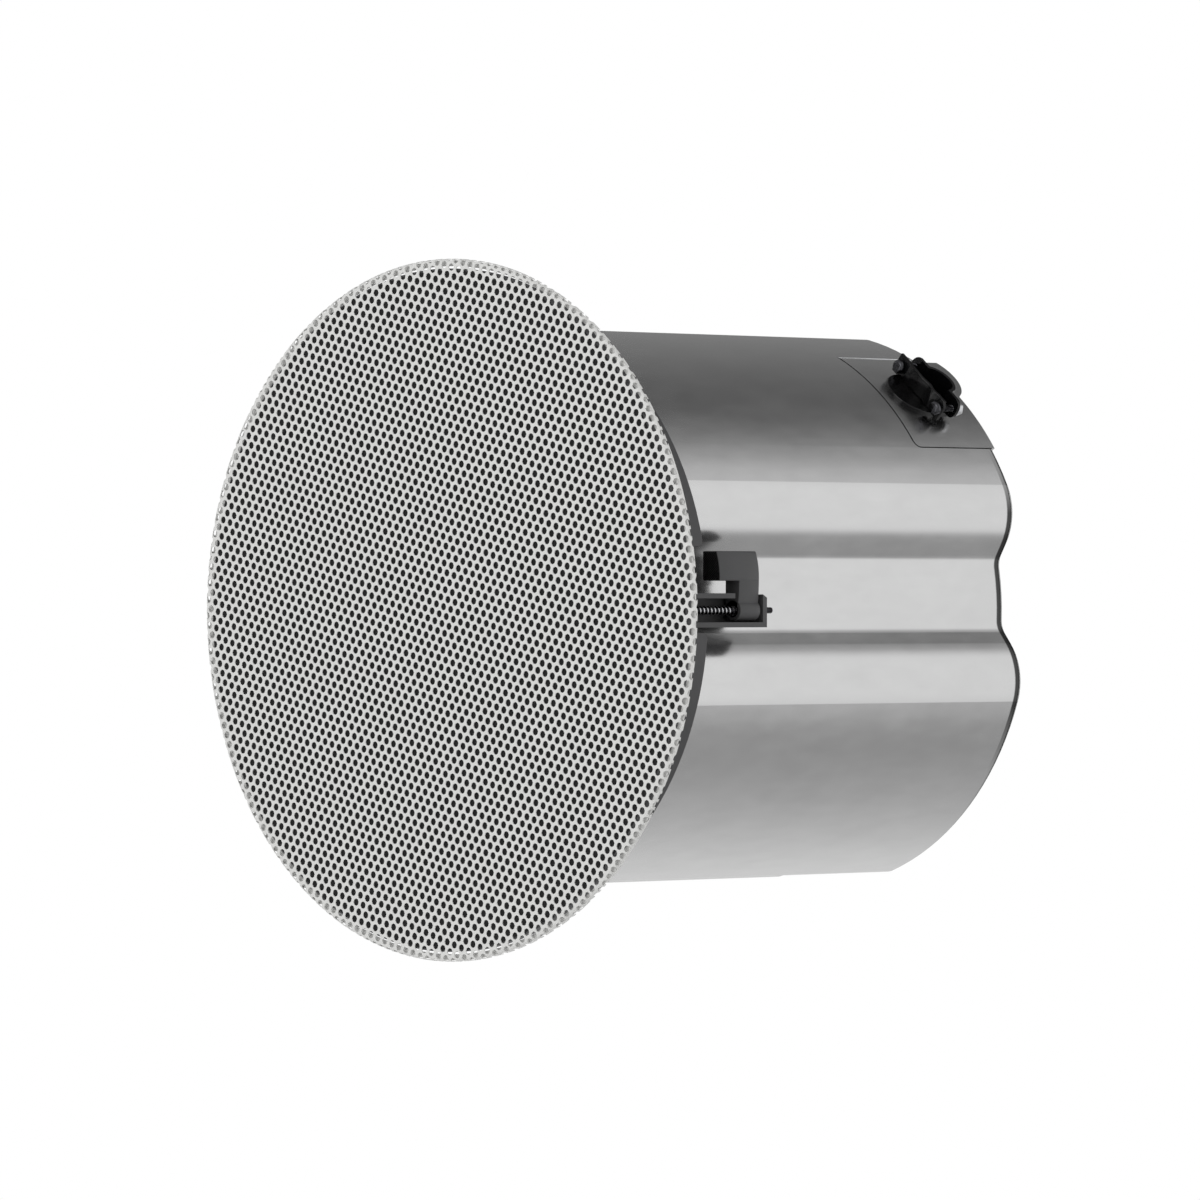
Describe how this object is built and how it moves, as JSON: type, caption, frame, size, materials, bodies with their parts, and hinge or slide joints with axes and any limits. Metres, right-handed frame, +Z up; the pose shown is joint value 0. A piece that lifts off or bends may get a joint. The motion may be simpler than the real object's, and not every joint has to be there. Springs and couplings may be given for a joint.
{
  "type": "in ceiling speaker",
  "caption": "Round flush ceiling loudspeaker with a perforated dished grille, a deep lobed steel back can, swing-out clamps and a side cable entry.",
  "frame": {"origin": "centre of the grille's front face, which is the lowest point", "axes": "+Z up along the speaker's axis, out of the room into the ceiling; +X towards one of the four clamps; the cable entry is between +X and -Y"},
  "size_m": [0.297, 0.297, 0.254],
  "materials": {
    "grille_paint": "satin off-white powder coat",
    "scrim_cloth": "fine woven cloth",
    "magnet_plate": "black epoxy coat",
    "baffle_plastic": "fine moulded texture",
    "gasket_foam": "foam",
    "can_steel": "satin zinc grey",
    "black_screw": "black oxide",
    "bright_zinc": "bright zinc",
    "liner_felt": "felted fibre",
    "clamp_plastic": "fine moulded texture",
    "black_metal": "satin black",
    "terminal_plastic": "moulded",
    "basket_steel": "black paint",
    "surround_rubber": "matt",
    "cone_pulp": "coated pulp",
    "spider_cloth": "resin-dipped cloth",
    "former_paper": "kraft",
    "copper_wire": "enamelled copper",
    "ferrite": "ground",
    "dome_silk": "coated silk",
    "port_plastic": "moulded",
    "dial_print": "plain",
    "board_laminate": "laminate",
    "core_steel": "laminated",
    "winding_tape": "taped"
  },
  "bodies": {
    "enclosure": {"anchor_rivets": "bright_zinc", "back_can": "can_steel", "baffle": "baffle_plastic", "baffle_rim": "baffle_plastic", "board_standoffs": "terminal_plastic", "cable_clamp_body": "black_metal", "cable_clamp_locknut": "bright_zinc", "cable_clamp_nuts": "bright_zinc", "can_gasket": "gasket_foam", "can_screws": "black_screw", "capacitors": "winding_tape", "cover_screw": "black_screw", "crossover_board": "board_laminate", "damping_liner": "liner_felt", "grille_magnets": "magnet_plate", "inductor": "copper_wire", "port_tube": "port_plastic", "resistor": "terminal_plastic", "safety_anchor": "bright_zinc", "tap_dial": "dial_print", "tap_switch": "port_plastic", "terminal_block": "terminal_plastic", "terminal_cover": "can_steel", "terminal_cup": "bright_zinc", "top_plate": "bright_zinc", "transformer_bracket": "bright_zinc", "transformer_core": "core_steel", "transformer_winding": "winding_tape", "tweeter_dome": "dome_silk", "tweeter_faceplate": "port_plastic", "tweeter_housing": "port_plastic", "tweeter_magnet": "ferrite", "woofer_basket": "basket_steel", "woofer_magnet": "ferrite", "woofer_screws": "black_screw", "woofer_spider": "spider_cloth", "woofer_surround": "surround_rubber", "woofer_yoke": "bright_zinc"},
    "grille": {"grille": "grille_paint", "grille_scrim": "scrim_cloth"},
    "cone": {"woofer_cone": "cone_pulp", "voice_coil_former": "former_paper", "voice_coil_winding": "copper_wire"},
    "tap_knob": {"tap_knob": "port_plastic", "tap_shaft": "bright_zinc"},
    "cable_strap": {"cable_clamp_strap": "black_metal", "cable_clamp_screws": "black_screw"},
    "clamp_arm_1": {"clamp_arm_1": "clamp_plastic", "clamp_nut_1": "bright_zinc"},
    "clamp_screw_1": {"clamp_screw_1": "black_screw"},
    "clamp_arm_2": {"clamp_arm_2": "clamp_plastic", "clamp_nut_2": "bright_zinc"},
    "clamp_screw_2": {"clamp_screw_2": "black_screw"},
    "clamp_arm_3": {"clamp_arm_3": "clamp_plastic", "clamp_nut_3": "bright_zinc"},
    "clamp_screw_3": {"clamp_screw_3": "black_screw"},
    "clamp_arm_4": {"clamp_arm_4": "clamp_plastic", "clamp_nut_4": "bright_zinc"},
    "clamp_screw_4": {"clamp_screw_4": "black_screw"}
  },
  "joints": [
    {"name": "clamp_arm_1_swing", "type": "hinge", "parent": "enclosure", "child": "clamp_arm_1", "pos_m": [0.1204, 0, 0.0587], "axis": [0, 0, 1], "range_deg": [0, 90]},
    {"name": "clamp_screw_1_turn", "type": "hinge", "parent": "enclosure", "child": "clamp_screw_1", "pos_m": [0.1204, 0, 0.04], "axis": [0, 0, 1], "continuous": true},
    {"name": "clamp_arm_2_swing", "type": "hinge", "parent": "enclosure", "child": "clamp_arm_2", "pos_m": [0, 0.1204, 0.0587], "axis": [0, 0, 1], "range_deg": [0, 90]},
    {"name": "clamp_screw_2_turn", "type": "hinge", "parent": "enclosure", "child": "clamp_screw_2", "pos_m": [0, 0.1204, 0.04], "axis": [0, 0, 1], "continuous": true},
    {"name": "clamp_arm_3_swing", "type": "hinge", "parent": "enclosure", "child": "clamp_arm_3", "pos_m": [-0.1204, 0, 0.0587], "axis": [0, 0, 1], "range_deg": [0, 90]},
    {"name": "clamp_screw_3_turn", "type": "hinge", "parent": "enclosure", "child": "clamp_screw_3", "pos_m": [-0.1204, 0, 0.04], "axis": [0, 0, 1], "continuous": true},
    {"name": "clamp_arm_4_swing", "type": "hinge", "parent": "enclosure", "child": "clamp_arm_4", "pos_m": [0, -0.1204, 0.0587], "axis": [0, 0, 1], "range_deg": [0, 90]},
    {"name": "clamp_screw_4_turn", "type": "hinge", "parent": "enclosure", "child": "clamp_screw_4", "pos_m": [0, -0.1204, 0.04], "axis": [0, 0, 1], "continuous": true},
    {"name": "tap_knob_turn", "type": "hinge", "parent": "enclosure", "child": "tap_knob", "pos_m": [0.07557, 0.06998, 0.015], "axis": [0, 0, 1], "range_deg": [-60, 60]},
    {"name": "cone_stroke", "type": "slide", "parent": "enclosure", "child": "cone", "axis": [0, 0, 1], "range_m": [-0.0035, 0.0035], "stiffness_N_per_m": 2000, "deforming": ["woofer_surround", "woofer_spider"]},
    {"name": "grille_pull", "type": "slide", "parent": "enclosure", "child": "grille", "axis": [0, 0, -1], "range_m": [0, 0.03]},
    {"name": "cable_strap_close", "type": "slide", "parent": "enclosure", "child": "cable_strap", "axis": [0, 0, 1], "range_m": [0, 0.007]}
  ]
}
